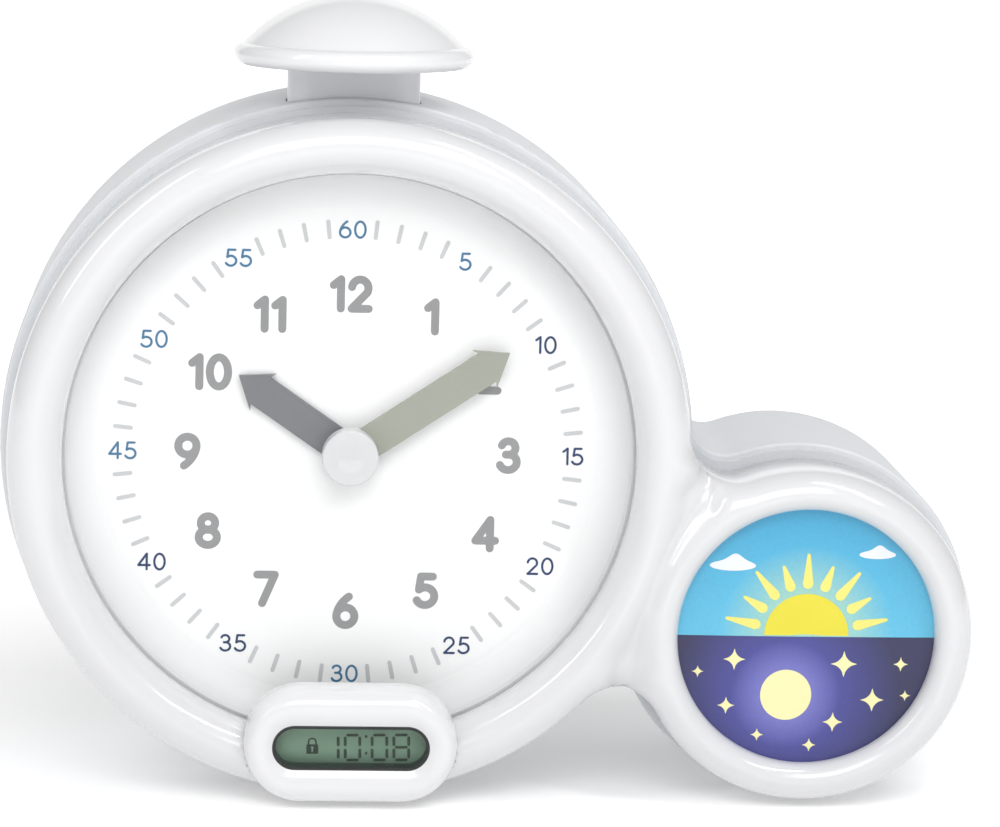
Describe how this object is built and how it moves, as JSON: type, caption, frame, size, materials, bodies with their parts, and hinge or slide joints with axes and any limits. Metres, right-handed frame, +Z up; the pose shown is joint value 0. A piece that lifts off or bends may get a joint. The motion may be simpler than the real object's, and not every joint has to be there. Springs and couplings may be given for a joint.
{
  "type": "kids alarm clock with night light",
  "caption": "Free-standing child's clock with a round analogue dial, small digital display, mushroom snooze button and a round picture night light in a side lobe.",
  "frame": {"origin": "middle of the bounding box's footprint, at the underside of the rubber feet, where the clock stands on a table", "axes": "+X to the viewer's right with the night light lobe at the +X end, -Y out of the dial towards the viewer, +Z up"},
  "size_m": [0.2144, 0.0842, 0.1732],
  "materials": {
    "white_gloss": "high gloss",
    "shell_satin": "fine satin",
    "groove_grey": "satin",
    "clear_lens": "clear polished plastic",
    "dial_white": "smooth printed face",
    "hand_dark": "satin",
    "hand_olive": "satin",
    "cap_grey": "satin",
    "stem_grey": "satin",
    "key_white": "gloss",
    "picture_film": "printed film under gloss",
    "diffuse_white": "moulded",
    "lcd_face": "polarised display face",
    "window_clear": "clear",
    "gasket_dark": "matte",
    "board_green": "solder mask",
    "chip_black": "moulded",
    "steel": "plated",
    "zinc_screw": "zinc plated",
    "copper": "enamelled wire",
    "brass_gear": "turned",
    "gear_white": "acetal",
    "movement_black": "moulded",
    "cell_jacket": "printed sleeve",
    "foot_rubber": "matte",
    "led_clear": "clear resin",
    "cone_paper": "pressed",
    "film_amber": "flexible film"
  },
  "bodies": {
    "case": {"front_bezel": "white_gloss", "joint_frame": "groove_grey", "rear_shell": "shell_satin", "aa_cells": "cell_jacket", "battery_contacts": "steel", "case_screws": "zinc_screw", "rubber_feet": "foot_rubber", "dial_lens": "clear_lens", "dial_dish": "dial_white", "minute_wheel_stud": "steel", "movement_front_plate": "movement_black", "movement_centre_plate": "movement_black", "movement_rear_case": "movement_black", "stator": "steel", "drive_coil": "copper", "coil_core": "steel", "button_bracket": "diffuse_white", "snooze_switch": "chip_black", "snooze_spring": "steel", "picture_disc": "picture_film", "light_box": "diffuse_white", "led_board": "board_green", "day_leds": "led_clear", "night_leds": "led_clear", "display_frame": "white_gloss", "display_gasket": "gasket_dark", "display_window": "window_clear", "lcd_cell": "lcd_face", "lcd_backlight": "diffuse_white", "lcd_board": "board_green", "display_ribbon": "film_amber", "main_board": "board_green", "main_chips": "chip_black", "board_spacers": "diffuse_white", "key_board": "board_green", "key_switches": "chip_black", "slide_switches": "steel", "speaker_frame": "steel", "speaker_magnet": "chip_black", "speaker_cone": "cone_paper", "power_inlet": "chip_black", "inlet_board": "board_green"},
    "minute_train": {"minute_hand": "hand_olive", "hub_cap": "cap_grey", "minute_arbor": "brass_gear"},
    "hour_train": {"hour_hand": "hand_dark", "hour_wheel": "gear_white"},
    "minute_wheel_body": {"minute_wheel": "gear_white"},
    "third_wheel_body": {"third_wheel": "gear_white"},
    "rotor_body": {"rotor": "gear_white"},
    "snooze_button": {"snooze_dome": "white_gloss", "snooze_stem": "stem_grey"},
    "mode_key": {"key_mode": "key_white"},
    "down_key": {"key_down": "key_white"},
    "up_key": {"key_up": "key_white"},
    "set_key": {"key_set": "key_white"},
    "alarm_slide": {"alarm_slider": "key_white"},
    "lock_slide": {"lock_slider": "key_white"},
    "door": {"battery_door": "shell_satin", "door_screw": "zinc_screw"}
  },
  "joints": [
    {"name": "minute_turn", "type": "hinge", "parent": "case", "child": "minute_train", "pos_m": [-0.03125, -0.0151, 0.075], "axis": [0, 1, 0], "continuous": true},
    {"name": "hour_turn", "type": "hinge", "parent": "case", "child": "hour_train", "pos_m": [-0.03125, -0.0191, 0.075], "axis": [0, 1, 0], "continuous": true},
    {"name": "minute_wheel_turn", "type": "hinge", "parent": "case", "child": "minute_wheel_body", "pos_m": [-0.04253, -0.0141, 0.0709], "axis": [0, 1, 0], "continuous": true},
    {"name": "third_wheel_turn", "type": "hinge", "parent": "case", "child": "third_wheel_body", "pos_m": [-0.0239, -0.0091, 0.06227], "axis": [0, 1, 0], "continuous": true},
    {"name": "rotor_turn", "type": "hinge", "parent": "case", "child": "rotor_body", "pos_m": [-0.01149, -0.0071, 0.06008], "axis": [0, 1, 0], "continuous": true},
    {"name": "snooze_press", "type": "slide", "parent": "case", "child": "snooze_button", "axis": [0, 0, -1], "range_m": [0, 0.003], "stiffness_N_per_m": 400, "springref_m": -0.004, "deforming": ["snooze_spring"]},
    {"name": "mode_press", "type": "slide", "parent": "case", "child": "mode_key", "axis": [0, -1, 0], "range_m": [0, 0.001], "stiffness_N_per_m": 600, "springref_m": -0.001},
    {"name": "down_press", "type": "slide", "parent": "case", "child": "down_key", "axis": [0, -1, 0], "range_m": [0, 0.001], "stiffness_N_per_m": 600, "springref_m": -0.001},
    {"name": "up_press", "type": "slide", "parent": "case", "child": "up_key", "axis": [0, -1, 0], "range_m": [0, 0.001], "stiffness_N_per_m": 600, "springref_m": -0.001},
    {"name": "set_press", "type": "slide", "parent": "case", "child": "set_key", "axis": [0, -1, 0], "range_m": [0, 0.001], "stiffness_N_per_m": 600, "springref_m": -0.001},
    {"name": "alarm_slide_move", "type": "slide", "parent": "case", "child": "alarm_slide", "axis": [1, 0, 0], "range_m": [0, 0.0055]},
    {"name": "lock_slide_move", "type": "slide", "parent": "case", "child": "lock_slide", "axis": [1, 0, 0], "range_m": [0, 0.0055]},
    {"name": "door_pull", "type": "slide", "parent": "case", "child": "door", "axis": [0, 1, 0], "range_m": [0, 0.015]}
  ],
  "couplings": [
    {"joint": "hour_turn", "follows": "minute_turn", "ratio": 0.083333},
    {"joint": "minute_wheel_turn", "follows": "minute_turn", "ratio": -0.33333},
    {"joint": "third_wheel_turn", "follows": "minute_turn", "ratio": -6},
    {"joint": "rotor_turn", "follows": "minute_turn", "ratio": 36}
  ]
}
